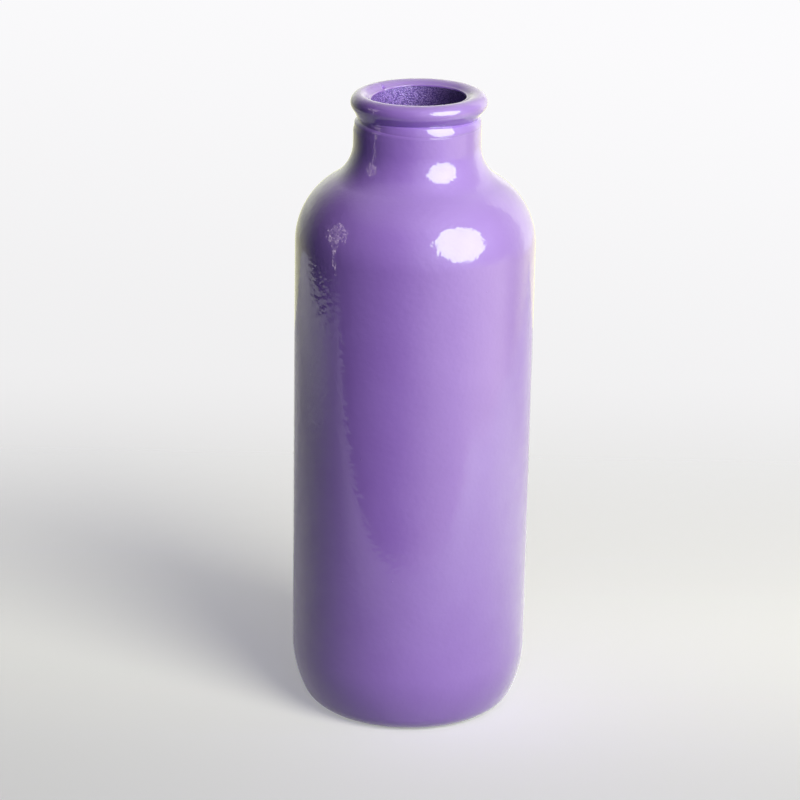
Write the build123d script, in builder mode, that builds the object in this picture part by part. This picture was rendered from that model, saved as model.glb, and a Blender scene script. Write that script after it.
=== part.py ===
import os
from math import asin, atan2, cos, degrees, hypot, radians, sin, sqrt

from build123d import *

# Driving dimensions, in millimetres and degrees

# Glass body
body_radius = 44.7
body_height = 183.3
heel_sweep_radius = 45.4
heel_sweep_angle = 24.6
heel_corner_radius = 9.1
shoulder_radius = 28.0
neck_root_radius = 16.3
wall = 3.7

# Glass base
base_thickness = 6.0
bearing_ring_width = 3.5
push_up_height = 4.0
inner_heel_radius = 12.0

# Glass neck
bore_radius = 17.8
neck_wall = 5.65
neck_straight = 5.4
neck_edge_height = 2.4
neck_edge_taper = 0.25
neck_edge_round = 0.5
throat_radius = 20.0

# Lip ring
lip_overhang = 1.4
lip_nose_radius = 2.85
lip_nose_height = 8.35
lip_inner_drop = 2.2
collar_inset = 0.15
groove_depth = 1.45
groove_height = 3.0

# Paint
lacquer_thickness = 0.3
overspray_thickness = 0.3
paint_line_height = 1.2


def root_rise(side_radius, bulge_radius, tube_radius, hollow_radius):
    """Height from a shoulder's centre to its neck root's centre, and the angle where the two arcs meet."""
    across = (tube_radius + hollow_radius) - (side_radius - bulge_radius)
    rise = sqrt((bulge_radius + hollow_radius) ** 2 - across**2)
    return rise, degrees(atan2(rise, across))


def tangent_point(start, centre, radius):
    """Point where a line from start touches the outer side of a circle."""
    across = centre[0] - start[0]
    up = centre[1] - start[1]
    distance = hypot(across, up)
    length = sqrt(distance**2 - radius**2)
    direction = atan2(up, across) - asin(radius / distance)
    return start[0] + length * cos(direction), start[1] + length * sin(direction)


# Radii and heights that follow from the driving dimensions
neck_radius = bore_radius + neck_wall
collar_radius = neck_radius - collar_inset
groove_radius = neck_radius - groove_depth
rise, shoulder_turn = root_rise(body_radius, shoulder_radius, neck_radius, neck_root_radius)
shoulder = (body_radius - shoulder_radius, body_height)
neck_root = (neck_radius + neck_root_radius, body_height + rise)
neck_edge_start = neck_root[1] + neck_straight
neck_top = neck_edge_start + neck_edge_height

inner_radius = body_radius - wall
inner_shoulder_radius = shoulder_radius - wall
inner_rise, inner_turn = root_rise(inner_radius, inner_shoulder_radius, bore_radius, throat_radius)
inner_shoulder = (inner_radius - inner_shoulder_radius, body_height)
throat = (bore_radius + throat_radius, body_height + inner_rise)
throat_top = throat[1]
floor_middle = push_up_height + base_thickness

heel_reach = heel_sweep_radius - heel_corner_radius
heel_turn = radians(heel_sweep_angle)
heel_corner = (body_radius - heel_sweep_radius + heel_reach * cos(heel_turn), heel_corner_radius)
heel_top = heel_corner_radius + heel_reach * sin(heel_turn)
heel_sweep = (body_radius - heel_sweep_radius, heel_top)
bearing_inner_radius = heel_corner[0] - bearing_ring_width

nose = (neck_radius + lip_overhang - lip_nose_radius, neck_top + lip_nose_height)
groove = (groove_radius, neck_top + groove_height)
crest = (nose[0], nose[1] + lip_nose_radius)
mouth_edge = (bore_radius, crest[1] - lip_inner_drop)
middle_of_neck = (bore_radius + groove_radius) / 2

# Glass bottle: an outline turned round the axis, less its hollow and the push-up under its base
with BuildPart() as glass_bottle:
    with BuildSketch(Plane.XZ) as bottle_outline:
        with BuildLine():
            Line((0, 0), (heel_corner[0], 0))
            CenterArc(heel_corner, heel_corner_radius, -90, 90 - heel_sweep_angle)
            CenterArc(heel_sweep, heel_sweep_radius, -heel_sweep_angle, heel_sweep_angle)
            Line((body_radius, heel_top), (body_radius, body_height))
            CenterArc(shoulder, shoulder_radius, 0, shoulder_turn)
            CenterArc(neck_root, neck_root_radius, 180 + shoulder_turn, -shoulder_turn)
            Line((neck_radius, neck_root[1]), (neck_radius, neck_edge_start))
            neck_edge = TangentArc(
                (neck_radius, neck_edge_start), (neck_radius - neck_edge_taper, neck_top), tangent=(0, 1)
            )
            Polyline(neck_edge @ 1, (0, neck_top), (0, 0))
        make_face()
        neck_corner = bottle_outline.vertices().group_by(Axis.Y)[-1].sort_by(Axis.X)[-1]
        fillet(neck_corner, radius=neck_edge_round)
    revolve(axis=Axis.Z)

    with BuildSketch(Plane.XZ) as hollow:
        with BuildLine():
            TangentArc((0, floor_middle), (inner_radius, base_thickness), tangent=(1, 0))
            Line((inner_radius, base_thickness), (inner_radius, body_height))
            CenterArc(inner_shoulder, inner_shoulder_radius, 0, inner_turn)
            CenterArc(throat, throat_radius, 180 + inner_turn, -inner_turn)
            Polyline((bore_radius, throat_top), (bore_radius, neck_top), (0, neck_top), (0, floor_middle))
        make_face()
        floor_corner = hollow.vertices().sort_by_distance((inner_radius, base_thickness))[0]
        fillet(floor_corner, radius=inner_heel_radius)
    revolve(axis=Axis.Z, mode=Mode.SUBTRACT)

    with BuildSketch(Plane.XZ):
        with BuildLine():
            TangentArc((0, push_up_height), (bearing_inner_radius, 0), tangent=(1, 0))
            Polyline((bearing_inner_radius, 0), (0, 0), (0, push_up_height))
        make_face()
    revolve(axis=Axis.Z, mode=Mode.SUBTRACT)

# Lip ring: a roll of glass seated on the neck's flat top, with a sloped collar below its groove
with BuildPart() as lip_ring:
    with BuildSketch(Plane.XZ) as lip_section:
        with BuildLine():
            nose_start = tangent_point(groove, nose, lip_nose_radius)
            nose_start_angle = degrees(atan2(nose_start[1] - nose[1], nose_start[0] - nose[0]))
            Polyline(mouth_edge, (bore_radius, neck_top), (collar_radius, neck_top), groove, nose_start)
            CenterArc(nose, lip_nose_radius, nose_start_angle, 90 - nose_start_angle)
            TangentArc(crest, mouth_edge, tangent=(-1, 0))
        make_face()
    revolve(axis=Axis.Z)

# Lacquer coat: an even film over bottle and lip, ending above the floor and at the mouth's inner edge
with BuildPart() as lacquer_coat:
    with BuildSketch(Plane.XZ) as coat_section:
        add(bottle_outline.sketch_local)
        add(lip_section.sketch_local)
        offset(amount=lacquer_thickness)
        add(bottle_outline.sketch_local, mode=Mode.SUBTRACT)
        add(lip_section.sketch_local, mode=Mode.SUBTRACT)
        with Locations((-lacquer_thickness, -lacquer_thickness)):
            below_paint = (heel_corner[0] + heel_corner_radius, lacquer_thickness + paint_line_height)
            inside_mouth = (lacquer_thickness + middle_of_neck, lacquer_thickness + mouth_edge[1])
            for width, height in (below_paint, inside_mouth):
                Rectangle(width, height, align=(Align.MIN, Align.MIN), mode=Mode.SUBTRACT)
    revolve(axis=Axis.Z)

# Overspray: a sleeve of film on the bore, from the mouth's inner edge to the throat
with BuildPart() as neck_overspray:
    with BuildSketch(Plane.XZ):
        with Locations((bore_radius, throat_top)):
            Rectangle(overspray_thickness, mouth_edge[1] - throat_top, align=(Align.MAX, Align.MIN))
    revolve(axis=Axis.Z)

glass_bottle.part.label = "glass_bottle"
lip_ring.part.label = "lip_ring"
lacquer_coat.part.label = "lacquer_coat"
neck_overspray.part.label = "neck_overspray"

os.makedirs("parts", exist_ok=True)
export_step(glass_bottle.part, "parts/glass_bottle.step")
export_step(lip_ring.part, "parts/lip_ring.step")
export_step(lacquer_coat.part, "parts/lacquer_coat.step")
export_step(neck_overspray.part, "parts/neck_overspray.step")

print(f"height over the lacquer {crest[1] + lacquer_thickness:.2f} mm")
print(f"mouth radius {bore_radius - overspray_thickness:.2f} mm")
print(f"mouth bore: z {throat_top:.2f} to {mouth_edge[1]:.2f} mm")
print(f"bearing ring: radius {bearing_inner_radius:.2f} to {heel_corner[0]:.2f} mm")
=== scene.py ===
from math import acos, asin, atan2, cos, degrees, exp, hypot, pi, radians, sin, sqrt, tan

import bpy
from mathutils import Matrix, Vector, noise


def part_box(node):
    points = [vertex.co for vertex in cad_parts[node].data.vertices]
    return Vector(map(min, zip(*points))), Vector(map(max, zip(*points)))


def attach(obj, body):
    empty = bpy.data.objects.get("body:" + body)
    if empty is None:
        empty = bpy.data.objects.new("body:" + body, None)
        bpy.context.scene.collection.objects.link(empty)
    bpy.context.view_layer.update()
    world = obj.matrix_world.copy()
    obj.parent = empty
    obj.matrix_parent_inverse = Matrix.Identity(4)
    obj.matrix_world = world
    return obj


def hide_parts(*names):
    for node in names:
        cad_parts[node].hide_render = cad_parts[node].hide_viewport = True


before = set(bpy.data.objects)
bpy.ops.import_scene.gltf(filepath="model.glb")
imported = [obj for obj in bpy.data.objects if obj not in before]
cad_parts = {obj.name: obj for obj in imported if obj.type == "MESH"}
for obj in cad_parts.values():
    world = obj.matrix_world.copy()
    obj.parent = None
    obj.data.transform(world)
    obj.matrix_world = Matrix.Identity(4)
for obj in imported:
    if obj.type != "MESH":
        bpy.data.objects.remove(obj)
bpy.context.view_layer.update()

# Camera, fitted to the photograph's edges
image_width = 800
focal_length_px = 3194.9
sensor_width = 36.0
camera_place = Vector((0.0, -1.1481, 0.5157))
camera_pitch = radians(19.0)
camera_yaw = radians(-0.2352)
camera_roll = radians(0.9874)

# Outside of the lacquer, in metres and degrees; neck_edge, crease and groove: radius, height, rounding
coat_low, coat_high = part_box("lacquer_coat")
film = 0.0003
skin_share = 0.85
body_radius = min(-coat_low.x, -coat_low.y)
paint_line = coat_low.z
lip_top = coat_high.z
heel_sweep_radius = 0.0457
heel_sweep_angle = 24.6
heel_corner_radius = 0.0094
shoulder_height = 0.1833
shoulder_radius = 0.0283
neck_root_radius = 0.0160
neck_radius = 0.02375
neck_edge = (neck_radius, 0.2285, 0.0008)
crease = (0.02325, 0.2292, 0.0002)
bead_radius = 0.0060
bead_low = (0.0233, 0.22945)
bead_low_angle = 0.0
bead_high_angle = 22.0
groove = (0.02235, 0.23195, 0.0002)
nose_radius = 0.0034
nose = (0.02194, lip_top - nose_radius)
inner_slope_radius = 0.0062
inner_slope_end = 0.0186
mouth_bead_radius = 0.00045
mouth_bead_start = 75.0
mouth_bead_drop = 0.0017
mouth_radius = 0.0175
mouth_end = 0.2385

# Glass under the lip's coat
neck_top = 0.22893
bore_radius = 0.0178

# Hand-made unevenness of the lip: amounts, and the heights, radii or angles that bound them
lip_shift = 0.0005
lip_shift_heights = (0.2312, 0.2360)
mouth_shift = 0.0002
collar_shift = (0.00045, -0.00038)
collar_heights = (0.2285, 0.2292, 0.2320)
lean_drop = 0.0006
lean_side = 0.025
lean_heights = (0.2292, 0.2320)
groove_wave = 0.00065
groove_wave_reach = 0.0016
neck_taper = 0.00042
neck_taper_heights = (0.2258, 0.2284)
left_taper = 0.0006
left_taper_heights = (0.2289, 0.2296, 0.2312, 0.2321)
left_rise = 0.0009
left_rise_heights = (0.2275, 0.2292, 0.2320)
left_mouth_drop = 0.0010
left_mouth_heights = (0.2335, 0.2375)
outside_radii = (0.0195, 0.0215)
sag = 0.0006
sag_angle = -76.0
sag_width = 22.0
sag_reach = 0.0012
lap_angle = 135.0
lap_edges = (2.4, 1.0)
lap_run = 5.0
lap_depths = (0.0007, 0.00006)
lap_radii = (0.0183, 0.0204)
lap_recess = 0.0003
lap_recess_run = 9.0
lap_recess_end = 0.6
lap_recess_radii = (0.0178, 0.0205)
lap_recess_heights = (0.2382, 0.2387)
lap_core = (0.0207, 0.2362)

# Mesh density; the lap has extra angles before and after it
turns = 320
fine_step = 0.00028
bead_step = fine_step / 3
curve_step = 0.0009
side_step = 0.004
lap_angle_step = 0.2
lap_angles_before = 6
lap_angles_after = 22
sharp_angle = 60.0

# Overspray inside the mouth
overspray_low, overspray_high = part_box("neck_overspray")
pebble_size = 0.00038
pebble_height = 0.00027
pebble_step = 0.00018
pebble_steepness = 1.5
# The pebbles fade out over this height under the mouth's edge, which also paints shade there
pebble_fade_and_rim_shade = 0.0003


def smooth(low, high, value):
    """Runs from 0 to 1 in an S curve as value goes from low to high."""
    share = between(low, high, value)
    return share * share * (3 - 2 * share)


def between(low, high, value):
    """Runs straight from 0 to 1 as value goes from low to high."""
    return min(max((value - low) / (high - low), 0.0), 1.0)


def degrees_past(turn, angle):
    """How far a turn in radians is past an angle in degrees, from -180 to 180."""
    return (degrees(turn) - angle + 180) % 360 - 180


def arc(centre, radius, start, end, step):
    """Points on an arc between two angles in degrees."""
    count = max(2, round(radius * radians(abs(end - start)) / step))
    angles = [radians(start + (end - start) * i / count) for i in range(count + 1)]
    return [(centre[0] + radius * cos(a), centre[1] + radius * sin(a)) for a in angles]


def straight(start, end, step):
    """Points on a line, both ends included."""
    count = max(1, round(hypot(end[0] - start[0], end[1] - start[1]) / step))
    shares = [i / count for i in range(count + 1)]
    return [(start[0] + (end[0] - start[0]) * s, start[1] + (end[1] - start[1]) * s) for s in shares]


def rounded(start, corners, end, step):
    """Points on a path through corners, each given with the radius that rounds it."""
    stops = [start] + [corner[:2] for corner in corners] + [end]
    path = [start]
    for i, (r, z, radius) in enumerate(corners):
        corner = Vector((r, z))
        back = (Vector(stops[i]) - corner).normalized()
        ahead = (Vector(stops[i + 2]) - corner).normalized()
        half = acos(back.dot(ahead)) / 2
        centre = corner + (back + ahead).normalized() * radius / sin(half)
        first = corner + back * radius / tan(half) - centre
        last = corner + ahead * radius / tan(half) - centre
        begin = degrees(atan2(first.y, first.x))
        turn = (degrees(atan2(last.y, last.x)) - begin + 180) % 360 - 180
        bend = arc(centre, radius, begin, begin + turn, step)
        path += straight(path[-1], bend[0], step)[1:] + bend[1:]
    return path + straight(path[-1], end, step)[1:]


def touch(start, centre, radius):
    """Point where a line from start touches the outer side of a circle."""
    distance = hypot(centre[0] - start[0], centre[1] - start[1])
    length = sqrt(distance**2 - radius**2)
    direction = atan2(centre[1] - start[1], centre[0] - start[0]) - asin(radius / distance)
    return start[0] + length * cos(direction), start[1] + length * sin(direction)


def lacquer_outline():
    """The coat's outer line, from the paint line at the heel to the mouth's inner edge."""
    heel_reach = heel_sweep_radius - heel_corner_radius
    heel_turn = radians(heel_sweep_angle)
    heel_sweep_r = body_radius - heel_sweep_radius
    heel_corner = (heel_sweep_r + heel_reach * cos(heel_turn), heel_corner_radius - film)
    heel_sweep = (heel_sweep_r, heel_corner[1] + heel_reach * sin(heel_turn))
    paint_angle = -degrees(asin((heel_corner[1] - paint_line) / heel_corner_radius))

    shoulder = (body_radius - shoulder_radius, shoulder_height)
    across = neck_radius + neck_root_radius - shoulder[0]
    rise = sqrt((shoulder_radius + neck_root_radius) ** 2 - across**2)
    shoulder_turn = degrees(atan2(rise, across))
    neck_root = (neck_radius + neck_root_radius, shoulder_height + rise)

    bead_turn = radians(bead_low_angle)
    bead = (bead_low[0] - bead_radius * cos(bead_turn), bead_low[1] - bead_radius * sin(bead_turn))
    bead_run = arc(bead, bead_radius, bead_low_angle, bead_high_angle, fine_step)
    nose_start = touch(groove[:2], nose, nose_radius)
    nose_angle = degrees(atan2(nose_start[1] - nose[1], nose_start[0] - nose[0]))
    slope = (nose[0], lip_top - inner_slope_radius)
    slope_end = 180 - degrees(acos((slope[0] - inner_slope_end) / inner_slope_radius))
    slope_run = arc(slope, inner_slope_radius, 90, slope_end, fine_step)
    mouth_bead = (mouth_radius + mouth_bead_radius, lip_top - mouth_bead_drop)
    mouth_run = arc(mouth_bead, mouth_bead_radius, mouth_bead_start, 180, bead_step)

    runs = [
        arc(heel_corner, heel_corner_radius, paint_angle, -heel_sweep_angle, curve_step),
        arc(heel_sweep, heel_sweep_radius, -heel_sweep_angle, 0, curve_step),
        straight((body_radius, heel_sweep[1]), (body_radius, shoulder_height), side_step),
        arc(shoulder, shoulder_radius, 0, shoulder_turn, curve_step),
        arc(neck_root, neck_root_radius, 180 + shoulder_turn, 180, curve_step),
        rounded((neck_radius, neck_root[1]), [neck_edge, crease], bead_run[0], fine_step),
        bead_run,
        rounded(bead_run[-1], [groove], nose_start, fine_step),
        arc(nose, nose_radius, nose_angle, 90, fine_step),
        slope_run,
        straight(slope_run[-1], mouth_run[0], bead_step),
        mouth_run,
        straight(mouth_run[-1], (mouth_radius, mouth_end), fine_step),
    ]
    outline = runs[0]
    for run in runs[1:]:
        outline = outline + run[1:]
    return outline


def behind(outline, depth):
    """The line that runs a small depth inside an outline."""
    line = []
    for i, (r, z) in enumerate(outline):
        before = outline[max(i - 1, 0)]
        after = outline[min(i + 1, len(outline) - 1)]
        along = Vector((after[0] - before[0], after[1] - before[1])).normalized()
        line.append((r - along.y * depth, z + along.x * depth))
    return line


def lap_dip(r, turn):
    """Depth of the lap: a slope down to a steep edge, deepest close to the mouth."""
    past = degrees_past(turn, lap_angle)
    out = smooth(*lap_radii, r)
    depth = lap_depths[0] + (lap_depths[1] - lap_depths[0]) * out
    edge_width = lap_edges[0] + (lap_edges[1] - lap_edges[0]) * out
    slope = (1 - between(0.0, lap_run, past)) ** 2
    edge = between(-edge_width, 0.0, past)
    return depth * slope * edge * smooth(bore_radius, lap_radii[0], r)


def lap_give(r, z, turn):
    """How far the mouth's edge gives way outwards beside the lap."""
    past = degrees_past(turn, lap_angle)
    share = between(-lap_recess_run, 0.0, past) ** 2 * (1 - between(0.0, lap_recess_end, past))
    return lap_recess * share * (1 - smooth(*lap_recess_radii, r)) * smooth(*lap_recess_heights, z)


def uneven(r, z, turn):
    """Point of the lip or its film, with the shift, lean, wavy groove, spindle-shaped collar and lap."""
    outside = smooth(*outside_radii, r)
    left = max(0.0, -cos(turn)) ** 2
    collar_low, collar_full, collar_high = collar_heights
    collar_share = outside * smooth(collar_low, collar_full, z) * (1 - between(collar_full, collar_high, z))
    taper_low, taper_full, taper_end, taper_high = left_taper_heights
    taper = neck_taper * smooth(*neck_taper_heights, z) + left_taper * smooth(taper_low, taper_full, z)
    taper *= outside * (1 - smooth(taper_end, taper_high, z))
    rise_low, rise_full, rise_high = left_rise_heights
    rise_share = outside * smooth(rise_low, rise_full, z) * (1 - between(rise_full, rise_high, z))
    mouth_share = (1 - smooth(bore_radius, nose[0], r)) * smooth(*left_mouth_heights, z)
    off_sag = degrees_past(turn, sag_angle)
    sag_share = outside * exp(-((off_sag / sag_width) ** 2)) * max(0.0, 1 - abs(z - crease[1]) / sag_reach)
    wave_share = -outside * cos(2 * turn) * max(0.0, 1 - abs(z - groove[1]) / groove_wave_reach)

    dip = lap_dip(r, turn) * smooth(groove[1], nose[1], z)
    outward = Vector((r - lap_core[0], z - lap_core[1])).normalized()
    flat = r - outward.x * dip - left * taper + lap_give(r, z, turn)
    height = z - outward.y * dip + groove_wave * wave_share - sag * sag_share
    height += left * (left_rise * rise_share - left_mouth_drop * mouth_share)
    side = lip_shift * smooth(*lip_shift_heights, z) - mouth_shift * mouth_share
    x = flat * cos(turn) + collar_shift[0] * collar_share + side
    y = flat * sin(turn) + collar_shift[1] * collar_share
    lean = lean_drop * ((lean_side - x) / (2 * lean_side)) ** 2
    return Vector((x, y, height - lean * smooth(*lean_heights, z)))


def turned_mesh(name, loop, angles, point):
    """A closed ring of quads: each angle has a copy of the loop, with its points placed by point."""
    vertices = [point(i, r, z, a) for a in angles for i, (r, z) in enumerate(loop)]
    faces = []
    size = len(loop)
    for j in range(len(angles)):
        here = j * size
        there = (j + 1) % len(angles) * size
        for i in range(size):
            k = (i + 1) % size
            faces.append((here + i, there + i, there + k, here + k))
    mesh = bpy.data.meshes.new(name)
    mesh.from_pydata(vertices, [], faces)
    mesh.validate()
    mesh.shade_smooth()
    mesh.set_sharp_from_angle(angle=radians(sharp_angle))
    piece = bpy.data.objects.new(name, mesh)
    bpy.context.collection.objects.link(piece)
    return piece


def even_angles(count):
    """Angles in radians that share a full turn evenly."""
    return [2 * pi * i / count for i in range(count)]


def lip_angles():
    """Even angles, with extra ones close to the lap."""
    extra = range(-lap_angles_before, lap_angles_after + 1)
    near_lap = [radians(lap_angle) + radians(lap_angle_step) * i for i in extra]
    return sorted([a for a in even_angles(turns) if not near_lap[0] < a < near_lap[-1]] + near_lap)


def make_lacquer():
    """The coat over the glass and the lip, as a closed film."""
    outline = lacquer_outline()
    loop = outline + behind(outline, film * skin_share)[::-1]
    return turned_mesh("lacquer_skin", loop, lip_angles(), lambda i, r, z, a: uneven(r, z, a))


def make_lip_glass():
    """The roll of glass under the lip's coat, seated on the neck's flat top."""
    over_seat = [p for p in behind(lacquer_outline(), film) if p[1] > neck_top + film]
    outside = [p for p in over_seat if p[0] > bore_radius]
    bore = straight((bore_radius, outside[-1][1]), (bore_radius, neck_top), curve_step)
    loop = [(outside[0][0], neck_top)] + outside + bore
    return turned_mesh("rolled_lip", loop, lip_angles(), lambda i, r, z, a: uneven(r, z, a))


def make_overspray():
    """A sleeve of dry spray, pebbled on the side that faces the bore; its lump value also carries painted
    shade.
    """
    outer = overspray_high.x
    inner = outer - film
    face = straight((inner, overspray_low.z), (inner, mouth_end), pebble_step)
    loop = face + [(outer, mouth_end), (outer, overspray_low.z)]
    angles = even_angles(round(2 * pi * inner / pebble_step))
    lumps_and_shade = []

    def point(i, r, z, turn):
        on_face = i < len(face)
        spot = Vector((turn * inner, z, 0.0)) / pebble_size
        near = noise.voronoi(spot)[0][0]
        lump_and_shade = max(0.0, 1 - near * pebble_steepness) if on_face else 0.0
        # The pebbles fade out just under the mouth's edge; the low value there also paints shade under the
        # edge
        lump_and_shade *= 1 - smooth(mouth_end - pebble_fade_and_rim_shade, mouth_end, z)
        lumps_and_shade.append(lump_and_shade)
        if on_face:
            r += pebble_height * (1 - lump_and_shade)
        return uneven(r, z, turn)

    sleeve = turned_mesh("overspray_sleeve", loop, angles, point)
    heights = sleeve.data.attributes.new("lump_and_shade", "FLOAT", "POINT")
    heights.data.foreach_set("value", lumps_and_shade)
    return sleeve


def plug(tree, made, inputs):
    """Links or sets inputs of a node."""
    for name, value in inputs.items():
        if isinstance(value, bpy.types.NodeSocket):
            tree.links.new(value, made.inputs[name])
        else:
            made.inputs[name].default_value = value


def node(tree, kind, inputs=None, **settings):
    """Adds a node with its settings and inputs."""
    made = tree.nodes.new(kind)
    for name, value in settings.items():
        setattr(made, name, value)
    plug(tree, made, inputs or {})
    return made


def result(tree, kind, inputs=None, **settings):
    """Adds a node and gives its first output."""
    return node(tree, kind, inputs, **settings).outputs[0]


def maths(tree, operation, *values):
    """One operation on numbers or sockets."""
    return result(tree, "ShaderNodeMath", dict(enumerate(values)), operation=operation)


def joined(tree, operation, values):
    """One operation run through a list of values."""
    total = values[0]
    for value in values[1:]:
        total = maths(tree, operation, total, value)
    return total


def axes(tree, kind):
    """The X, Y and Z of one kind of texture coordinates."""
    place = node(tree, "ShaderNodeTexCoord").outputs[kind]
    return node(tree, "ShaderNodeSeparateXYZ", {"Vector": place}).outputs


def ramp(tree, factor, stops):
    """A colour ramp with the given places and colours."""
    made = node(tree, "ShaderNodeValToRGB", {"Fac": factor})
    elements = made.color_ramp.elements
    for element, (place, colour) in zip(elements, stops):
        element.position = place
        element.color = (*colour, 1.0)
    return made.outputs["Color"]


def spread(tree, value, low, high, to_low=0.0, to_high=1.0):
    """Maps a value's range to another in an S curve."""
    inputs = {"Value": value, "From Min": low, "From Max": high, "To Min": to_low, "To Max": to_high}
    return node(tree, "ShaderNodeMapRange", inputs, interpolation_type="SMOOTHSTEP").outputs["Result"]


def speckle(tree, place, scale, detail=2.0):
    """Soft noise of a given scale."""
    inputs = {"Vector": place, "Scale": scale, "Detail": detail}
    return node(tree, "ShaderNodeTexNoise", inputs).outputs["Fac"]


def tinted(tree, place, scale, tones):
    """Clouds of two colours."""
    return ramp(tree, speckle(tree, place, scale), list(zip(noise_range, tones)))


def varied(tree, place, scale, limits):
    """A value that wanders in clouds between two limits."""
    return spread(tree, speckle(tree, place, scale), *noise_range, *limits)


def bump(tree, height, depth, more=None):
    """Normal of a surface that has small heights on it."""
    inputs = {"Height": height, "Distance": depth, **(more or {})}
    return node(tree, "ShaderNodeBump", inputs).outputs["Normal"]


def new_material(name):
    """A material with its Principled shader, and object coordinates."""
    material = bpy.data.materials.new(name)
    material.use_nodes = True
    tree = material.node_tree
    place = node(tree, "ShaderNodeTexCoord").outputs["Object"]
    return material, tree, tree.nodes["Principled BSDF"], place


def empty_material(name):
    """A material with an empty node tree."""
    material = bpy.data.materials.new(name)
    material.use_nodes = True
    material.node_tree.nodes.clear()
    return material, material.node_tree


# Materials: noise scales, depths in metres, and the noise's range that tones and limits stretch over
noise_range = (0.3, 0.7)
lacquer_tones = [(0.300, 0.144, 0.690), (0.320, 0.159, 0.720)]
lacquer_tone_scale = 45.0
lacquer_roughness = (0.50, 0.60)
lacquer_roughness_scale = 160.0
lacquer_specular = 0.3
coat_weight = 1.0
coat_roughness = 0.05
# Overspray colour by lump value: the dark end is painted shade between the pebbles and under the mouth's
# edge
overspray_shade_tones = [(0.05, (0.10, 0.045, 0.34)), (0.70, (0.44, 0.27, 0.92))]
overspray_roughness = (0.35, 0.6)
overspray_roughness_scale = 900.0
# Painted shade: the overspray's colour is scaled down towards +X, on the inner wall that faces away from
# the key lamp
overspray_sides = (-0.008, 0.012)
overspray_side_shade = (1.1, 0.38)
glass_tones = [(0.80, 0.87, 0.85), (0.84, 0.89, 0.87)]
glass_tone_scale = 30.0
glass_roughness = (0.01, 0.05)
glass_roughness_scale = 70.0
glass_wave_scale = 60.0
glass_wave_depth = 0.0002
glass_transmission = 1.0
glass_ior = 1.5

# Orange peel in two sizes, fainter on the lower body than on the shoulder
coarse_peel_scale = 420.0
coarse_peel_depth = 0.00008
fine_peel_scale = 1000.0
fine_peel_depth = 0.000022
peel_detail = 1.0
peel_heights = (0.12, 0.17)
peel_low = 0.85

# Dust nibs in the lacquer: turn in degrees and height
nibs = [
    (-54.1, 0.1751), (-30.1, 0.1687), (-114.3, 0.1108),
    (-121.0, 0.0190), (-98.0, 0.0640), (63.0, 0.1420),
]
nib_radius = 0.0004
nib_height = 0.00012


def lacquer_material():
    """Gloss purple lacquer: faint clouds of colour, orange peel in two sizes, and dust nibs."""
    material, tree, shader, place = new_material("gloss_purple_lacquer")
    height = node(tree, "ShaderNodeSeparateXYZ", {"Vector": place}).outputs["Z"]
    peel = spread(tree, height, *peel_heights, peel_low, 1.0)
    coarse_noise = speckle(tree, place, coarse_peel_scale, peel_detail)
    coarse = bump(tree, coarse_noise, coarse_peel_depth, {"Strength": peel})
    fine_noise = speckle(tree, place, fine_peel_scale, peel_detail)
    fine = bump(tree, fine_noise, fine_peel_depth, {"Strength": peel, "Normal": coarse})
    dust = []
    for turn, nib_z in nibs:
        spot = (body_radius * cos(radians(turn)), body_radius * sin(radians(turn)), nib_z)
        gap = node(tree, "ShaderNodeVectorMath", {0: place, 1: spot}, operation="DISTANCE").outputs["Value"]
        dust.append(spread(tree, gap, nib_radius, 0.0))
    surface = bump(tree, joined(tree, "MAXIMUM", dust), nib_height, {"Normal": fine})
    plug(tree, shader, {
        "Base Color": tinted(tree, place, lacquer_tone_scale, lacquer_tones),
        "Roughness": varied(tree, place, lacquer_roughness_scale, lacquer_roughness),
        "Normal": surface,
        "Coat Normal": surface,
        "Specular IOR Level": lacquer_specular,
        "Coat Weight": coat_weight,
        "Coat Roughness": coat_roughness,
    })
    return material


def overspray_material():
    """Dry spray with painted shade: dark between the pebbles and just under the mouth's edge, paler on top
    of the pebbles, and darker on the side that faces away from the key lamp.
    """
    material, tree, shader, place = new_material("dry_purple_overspray_painted_shade")
    lump_and_shade = node(tree, "ShaderNodeAttribute", attribute_name="lump_and_shade").outputs["Fac"]
    across = node(tree, "ShaderNodeSeparateXYZ", {"Vector": place}).outputs["X"]
    # Painted shade: the colour darkens towards +X, where the inner wall faces away from the key lamp
    side_shade = spread(tree, across, *overspray_sides, *overspray_side_shade)
    shaded = {0: ramp(tree, lump_and_shade, overspray_shade_tones), "Scale": side_shade}
    plug(tree, shader, {
        "Base Color": result(tree, "ShaderNodeVectorMath", shaded, operation="SCALE"),
        "Roughness": varied(tree, place, overspray_roughness_scale, overspray_roughness),
    })
    return material


def glass_material(name):
    """Clear moulded glass with a faint tint and soft waves from the mould."""
    material, tree, shader, place = new_material(name)
    plug(tree, shader, {
        "Base Color": tinted(tree, place, glass_tone_scale, glass_tones),
        "Roughness": varied(tree, place, glass_roughness_scale, glass_roughness),
        "Normal": bump(tree, speckle(tree, place, glass_wave_scale), glass_wave_depth),
        "Transmission Weight": glass_transmission,
        "IOR": glass_ior,
    })
    return material


def make_camera():
    """The photograph's camera."""
    data = bpy.data.cameras.new("camera")
    data.sensor_fit = "HORIZONTAL"
    data.sensor_width = sensor_width
    data.lens = focal_length_px * sensor_width / image_width
    camera = bpy.data.objects.new("camera", data)
    turn = Matrix.Rotation(-camera_yaw, 4, "Z") @ Matrix.Rotation(pi / 2 - camera_pitch, 4, "X")
    camera.matrix_world = Matrix.Translation(camera_place) @ turn @ Matrix.Rotation(camera_roll, 4, "Z")
    bpy.context.collection.objects.link(camera)
    bpy.context.scene.camera = camera


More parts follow.
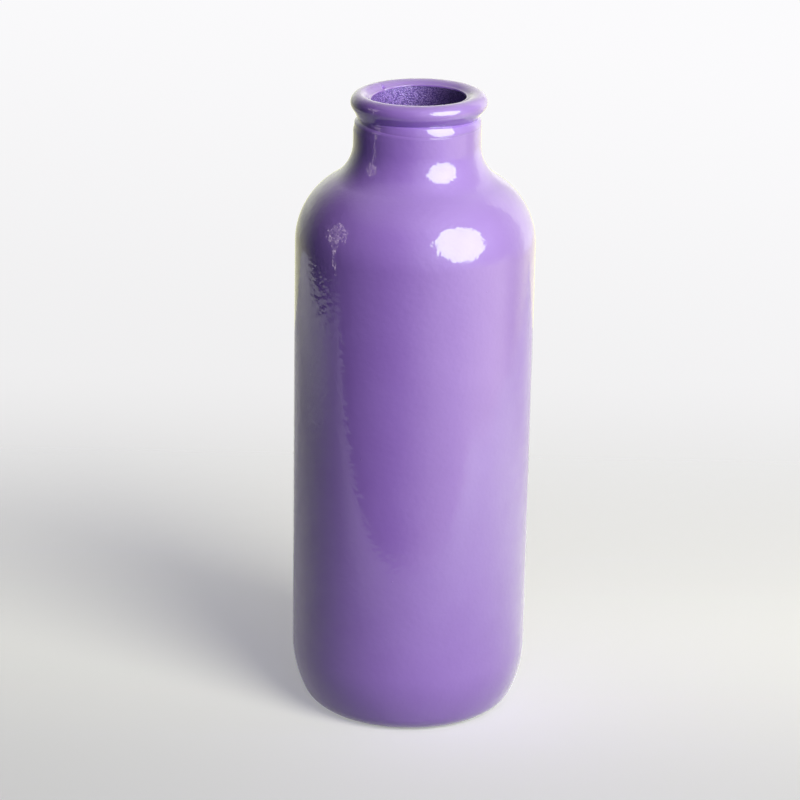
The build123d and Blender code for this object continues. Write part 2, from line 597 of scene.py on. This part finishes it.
# Lamps, in metres and degrees; azimuths count to the right from the side that the camera is on
lamp_target = Vector((0, 0, 0.12))
lamp_distance = 1.1
lamp_size = 0.7
key_azimuth = 38.0
key_elevation = 30.0
key_power = 13.5
key_colour = (1.05, 1.12, 0.76)
front_azimuth = 5.0
front_elevation = 20.0
front_power = 1.4
front_colour = (0.4, 0.5, 1.0)

# Cards that only the gloss sees, set round a place in the neck
card_target = Vector((0, 0, 0.2))
box_azimuth = 46.0
box_elevation = 22.0
box_distance = 1.0
box_half_angle = 25.5
box_sides = 8
box_colour = (0.87, 1.05, 0.78)
box_strength = 12.0
stand_azimuth = -84.0
stand_distance = 0.75
stand_shape = [
    (0.02, -0.22), (0.08, -0.22), (0.08, 0.08), (0.15, 0.14),
    (0.13, 0.40), (-0.08, 0.44), (-0.16, 0.16), (0.02, 0.04),
]
stand_colour = (1.0, 0.86, 0.88)
stand_strength = (0.05, 6.0)
stand_patch_scale = 24.0
stand_patch_range = (0.45, 0.66)
wall_azimuth = 141.0
wall_distance = 0.9
wall_width = 0.6
wall_height = 1.0
wall_glow = (2.8, 1.5)

# Sheet on the floor: its outline, tones and glows, and the stretches of X or Y over which they change
sheet_left = -0.57
sheet_right = 0.44
sheet_front = -0.218
sheet_back = 0.46
sheet_left_front = -0.155
sheet_corner = [(0.31, -0.205), (0.395, -0.05), (sheet_right, 0.02)]
# The paper's colour darkens towards the front as painted shade
floor_shade_tones = [(0.0, (0.46, 0.428, 0.565)), (1.0, (0.86, 0.80, 1.0))]
floor_shade_y = (-0.12, 0.10)
floor_glow = 0.32
left_gloss_glow = 0.5
left_gloss_x = (-0.30, -0.50)
left_gloss_y = (-0.15, 0.05)
right_gloss_glow = 2.4
right_gloss_x = (-0.04, 0.32)
right_gloss_tones = [(0.0, (0.84, 1.0, 0.62)), (1.0, (0.25, 0.25, 0.25))]
right_gloss_tone_y = (-0.05, 0.25)
front_gloss_glow = 0.45
front_gloss_y = (-0.10, -0.17)
bounce_cut = 0.75
back_fade_y = (0.02, sheet_back - 0.06)
front_fade_y = (-0.12, sheet_front + 0.01)
left_fade_x = (-0.30, sheet_left + 0.02)
right_fade_x = (0.25, sheet_right - 0.02)

# Surroundings: glows, and the stretches of the direction's X, Y or Z over which they change
pale_tones = [(0.0, (0.85, 0.845, 0.85)), (1.0, (0.97, 0.965, 0.98))]
pale_tilt = 0.17
pale_heights = (-0.38, -0.18)
surround_colour = (1.0, 1.03, 0.88)
low_colour = (1.0, 1.0, 0.68)
low_to_high_z = (-0.25, -0.05)
room_glow = 0.05
right_glow = 1.6
high_right_x = (-0.45, 0.55)
low_right_x = (-0.35, 0.60)
far_share = 0.45
far_y = (0.55, 1.0)
low_side_glow = 1.7
low_side_x = (0.55, 1.0)
low_side_y = (-0.05, 0.35)
back_glow = 0.9
back_y = (0.25, 0.95)
high_back_glow = 0.4
high_back_y = (0.60, 0.95)
high_back_z = (-0.10, 0.10)
ceiling_glow = 0.7
ceiling_z = (0.60, 0.90)
fill_share = 0.04


def away(azimuth, elevation, distance):
    """Offset to a place seen in a direction from the object."""
    flat = distance * cos(radians(elevation))
    a = radians(azimuth)
    return Vector((flat * sin(a), -flat * cos(a), distance * sin(radians(elevation))))


def facing(place, target):
    """Matrix that puts a thing at place with its -Z side towards target."""
    return Matrix.Translation(place) @ (target - place).to_track_quat("-Z", "Y").to_matrix().to_4x4()


def make_card(name, points, matrix):
    """A flat piece of the stage with one face."""
    mesh = bpy.data.meshes.new(name)
    mesh.from_pydata(points, [], [tuple(range(len(points)))])
    card = bpy.data.objects.new(name, mesh)
    card.matrix_world = matrix
    bpy.context.collection.objects.link(card)
    return card


def make_lamp(name, azimuth, elevation, power, colour):
    """A round soft lamp aimed at the object's middle. The cards stand for it in the gloss."""
    lamp = bpy.data.lights.new(name, "AREA")
    lamp.shape = "DISK"
    lamp.size = lamp_size
    lamp.energy = power
    lamp.color = colour
    holder = bpy.data.objects.new(name, lamp)
    holder.matrix_world = facing(lamp_target + away(azimuth, elevation, lamp_distance), lamp_target)
    holder.visible_glossy = False
    bpy.context.collection.objects.link(holder)


def glow_material(name, colour):
    """A material that only glows, with its tree and its glow."""
    material, tree = empty_material(name)
    glow = node(tree, "ShaderNodeEmission", {"Color": (*colour, 1.0)})
    node(tree, "ShaderNodeOutputMaterial", {"Surface": glow.outputs["Emission"]})
    return material, tree, glow


def make_floor():
    """A pale sheet that fades into the pale surroundings towards its edges."""
    near_edge = [(sheet_left, sheet_left_front), (0.0, sheet_front)] + sheet_corner
    far_edge = [(sheet_right, sheet_back), (sheet_left, sheet_back)]
    floor = make_card("floor", [(x, y, 0.0) for x, y in near_edge + far_edge], Matrix())
    material, tree = empty_material("pale_sheet")
    path = node(tree, "ShaderNodeLightPath").outputs
    place = axes(tree, "Object")
    camera_ray = path["Is Camera Ray"]
    glossy_ray = path["Is Glossy Ray"]

    # Glow that the camera sees, and more of it for the gloss on the left and in front
    far_left = spread(tree, place["X"], *left_gloss_x, 0.0, left_gloss_glow)
    lit_left = maths(tree, "MULTIPLY", far_left, spread(tree, place["Y"], *left_gloss_y))
    lit_near = spread(tree, place["Y"], *front_gloss_y, 0.0, front_gloss_glow)
    gloss_glow = maths(tree, "MULTIPLY", maths(tree, "ADD", lit_left, lit_near), glossy_ray)
    seen = joined(tree, "MAXIMUM", [camera_ray, glossy_ray, path["Is Transmission Ray"]])
    glow_level = maths(tree, "MULTIPLY_ADD", seen, floor_glow, gloss_glow)
    glow = result(tree, "ShaderNodeEmission", {"Strength": glow_level})

    # Tinted glow for the gloss on the right
    lit_right = spread(tree, place["X"], *right_gloss_x, 0.0, right_gloss_glow)
    right_level = maths(tree, "MULTIPLY", lit_right, glossy_ray)
    right_colour = ramp(tree, spread(tree, place["Y"], *right_gloss_tone_y), right_gloss_tones)
    right = result(tree, "ShaderNodeEmission", {"Color": right_colour, "Strength": right_level})
    glows = result(tree, "ShaderNodeAddShader", {0: glow, 1: right})

    # Paper, darker towards the front as painted shade, with less light thrown back on the object
    paper_shade_tone = ramp(tree, spread(tree, place["Y"], *floor_shade_y), floor_shade_tones)
    paper = result(tree, "ShaderNodeBsdfDiffuse", {"Color": paper_shade_tone})
    black = result(tree, "ShaderNodeBsdfDiffuse", {"Color": (0.0, 0.0, 0.0, 1.0)})
    cut = maths(tree, "MULTIPLY", path["Is Diffuse Ray"], bounce_cut)
    dimmed = result(tree, "ShaderNodeMixShader", {0: cut, 1: paper, 2: black})
    sheet = result(tree, "ShaderNodeAddShader", {0: dimmed, 1: glows})

    # Fade towards the edges, for the camera only
    fades = [
        spread(tree, place["Y"], *back_fade_y),
        spread(tree, place["Y"], *front_fade_y),
        spread(tree, place["X"], *left_fade_x),
        spread(tree, place["X"], *right_fade_x),
    ]
    seen_fade = maths(tree, "MULTIPLY", joined(tree, "MAXIMUM", fades), camera_ray)
    clear = result(tree, "ShaderNodeBsdfTransparent")
    mix = result(tree, "ShaderNodeMixShader", {0: seen_fade, 1: sheet, 2: clear})
    node(tree, "ShaderNodeOutputMaterial", {"Surface": mix})
    floor.data.materials.append(material)


def make_soft_box():
    """The bright octagon that the gloss mirrors."""
    place = card_target + away(box_azimuth, box_elevation, box_distance)
    reach = box_distance * tan(radians(box_half_angle))
    corner_angles = [a + pi / box_sides for a in even_angles(box_sides)]
    octagon = [(reach * cos(a), reach * sin(a), 0) for a in corner_angles]
    card = make_card("soft_box", octagon, facing(place, card_target))
    material, tree, glow = glow_material("soft_box_glow", box_colour)
    plug(tree, glow, {"Strength": box_strength})
    card.data.materials.append(material)
    return card


def make_lamp_stand():
    """The patchy shape that the gloss mirrors on the left."""
    place = card_target + away(stand_azimuth, 0, stand_distance)
    card = make_card("lamp_stand", [(x, y, 0) for x, y in stand_shape], facing(place, card_target))
    material, tree, glow = glow_material("lamp_stand_glow", stand_colour)
    patches = speckle(tree, node(tree, "ShaderNodeTexCoord").outputs["Object"], stand_patch_scale)
    plug(tree, glow, {"Strength": spread(tree, patches, *stand_patch_range, *stand_strength)})
    card.data.materials.append(material)
    return card


def make_side_wall():
    """The pale wall that the gloss mirrors at its right edge."""
    place = card_target + away(wall_azimuth, 0, wall_distance)
    half = wall_width / 2
    low = -card_target.z
    high = low + wall_height
    corners = [(-half, low, 0), (half, low, 0), (half, high, 0), (-half, high, 0)]
    card = make_card("side_wall", corners, facing(place, card_target))
    material, tree, glow = glow_material("side_wall_glow", surround_colour)
    plug(tree, glow, {"Strength": spread(tree, axes(tree, "Object")["X"], -half, half, *wall_glow)})
    card.data.materials.append(material)
    return card


def make_room():
    """Soft box, lamp stand and side wall for the gloss, and two broad soft lamps."""
    for card in (make_soft_box(), make_lamp_stand(), make_side_wall()):
        card.visible_camera = False
        card.visible_diffuse = False
        card.visible_shadow = False
    make_lamp("key", key_azimuth, key_elevation, key_power, key_colour)
    make_lamp("front", front_azimuth, front_elevation, front_power, front_colour)


def make_world():
    """Pale surroundings where the camera looks, and a dim room for the gloss and the fill light."""
    world = bpy.data.worlds.new("room")
    world.use_nodes = True
    bpy.context.scene.world = world
    tree = world.node_tree
    tree.nodes.clear()
    path = node(tree, "ShaderNodeLightPath").outputs
    direction = axes(tree, "Generated")

    # Pale surroundings
    height = maths(tree, "MULTIPLY_ADD", direction["X"], pale_tilt, direction["Z"])
    pale_colour = ramp(tree, spread(tree, height, *pale_heights), pale_tones)
    pale = result(tree, "ShaderNodeBackground", {"Color": pale_colour})

    # Dim room
    above = spread(tree, direction["Z"], *low_to_high_z)
    below = spread(tree, direction["Z"], *low_to_high_z, 1.0, 0.0)
    lit_high = spread(tree, direction["X"], *high_right_x, room_glow, right_glow)
    lit_low = spread(tree, direction["X"], *low_right_x, room_glow, right_glow)
    lit_side = node(tree, "ShaderNodeMix", {"Factor": above, "A": lit_low, "B": lit_high}).outputs["Result"]
    lit_front = spread(tree, direction["Y"], *far_y, 1.0, far_share)
    low_side = spread(tree, direction["X"], *low_side_x, 0.0, low_side_glow)
    low_front = spread(tree, direction["Y"], *low_side_y, 1.0, 0.0)
    lit_back = spread(tree, direction["Y"], *high_back_y, 0.0, high_back_glow)
    high = spread(tree, direction["Z"], *high_back_z)
    glows = [
        maths(tree, "MULTIPLY", lit_side, lit_front),
        joined(tree, "MULTIPLY", [low_side, low_front, below]),
        spread(tree, direction["Y"], *back_y, 0.0, back_glow),
        spread(tree, direction["Z"], *ceiling_z, 0.0, ceiling_glow),
        maths(tree, "MULTIPLY", lit_back, high),
    ]
    share = spread(tree, path["Is Glossy Ray"], 0.0, 1.0, fill_share, 1.0)
    level = maths(tree, "MULTIPLY", joined(tree, "ADD", glows), share)
    room_colour = ramp(tree, above, [(0.0, low_colour), (1.0, surround_colour)])
    dim = result(tree, "ShaderNodeBackground", {"Color": room_colour, "Strength": level})

    seen = maths(tree, "MAXIMUM", path["Is Camera Ray"], path["Is Transmission Ray"])
    mix = result(tree, "ShaderNodeMixShader", {0: seen, 1: dim, 2: pale})
    node(tree, "ShaderNodeOutputWorld", {"Surface": mix})


def dress(piece, material, node_name):
    """Puts a piece in a CAD node's place."""
    piece.data.materials.append(material)
    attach(piece, "root")
    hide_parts(node_name)


make_camera()
make_world()
make_floor()
make_room()

dress(make_lacquer(), lacquer_material(), "lacquer_coat")
dress(make_overspray(), overspray_material(), "neck_overspray")
dress(make_lip_glass(), glass_material("lip_glass"), "lip_ring")
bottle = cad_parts["glass_bottle"]
bottle.data.materials.clear()
bottle.data.materials.append(glass_material("bottle_glass"))

bpy.context.scene.view_settings.view_transform = "Standard"
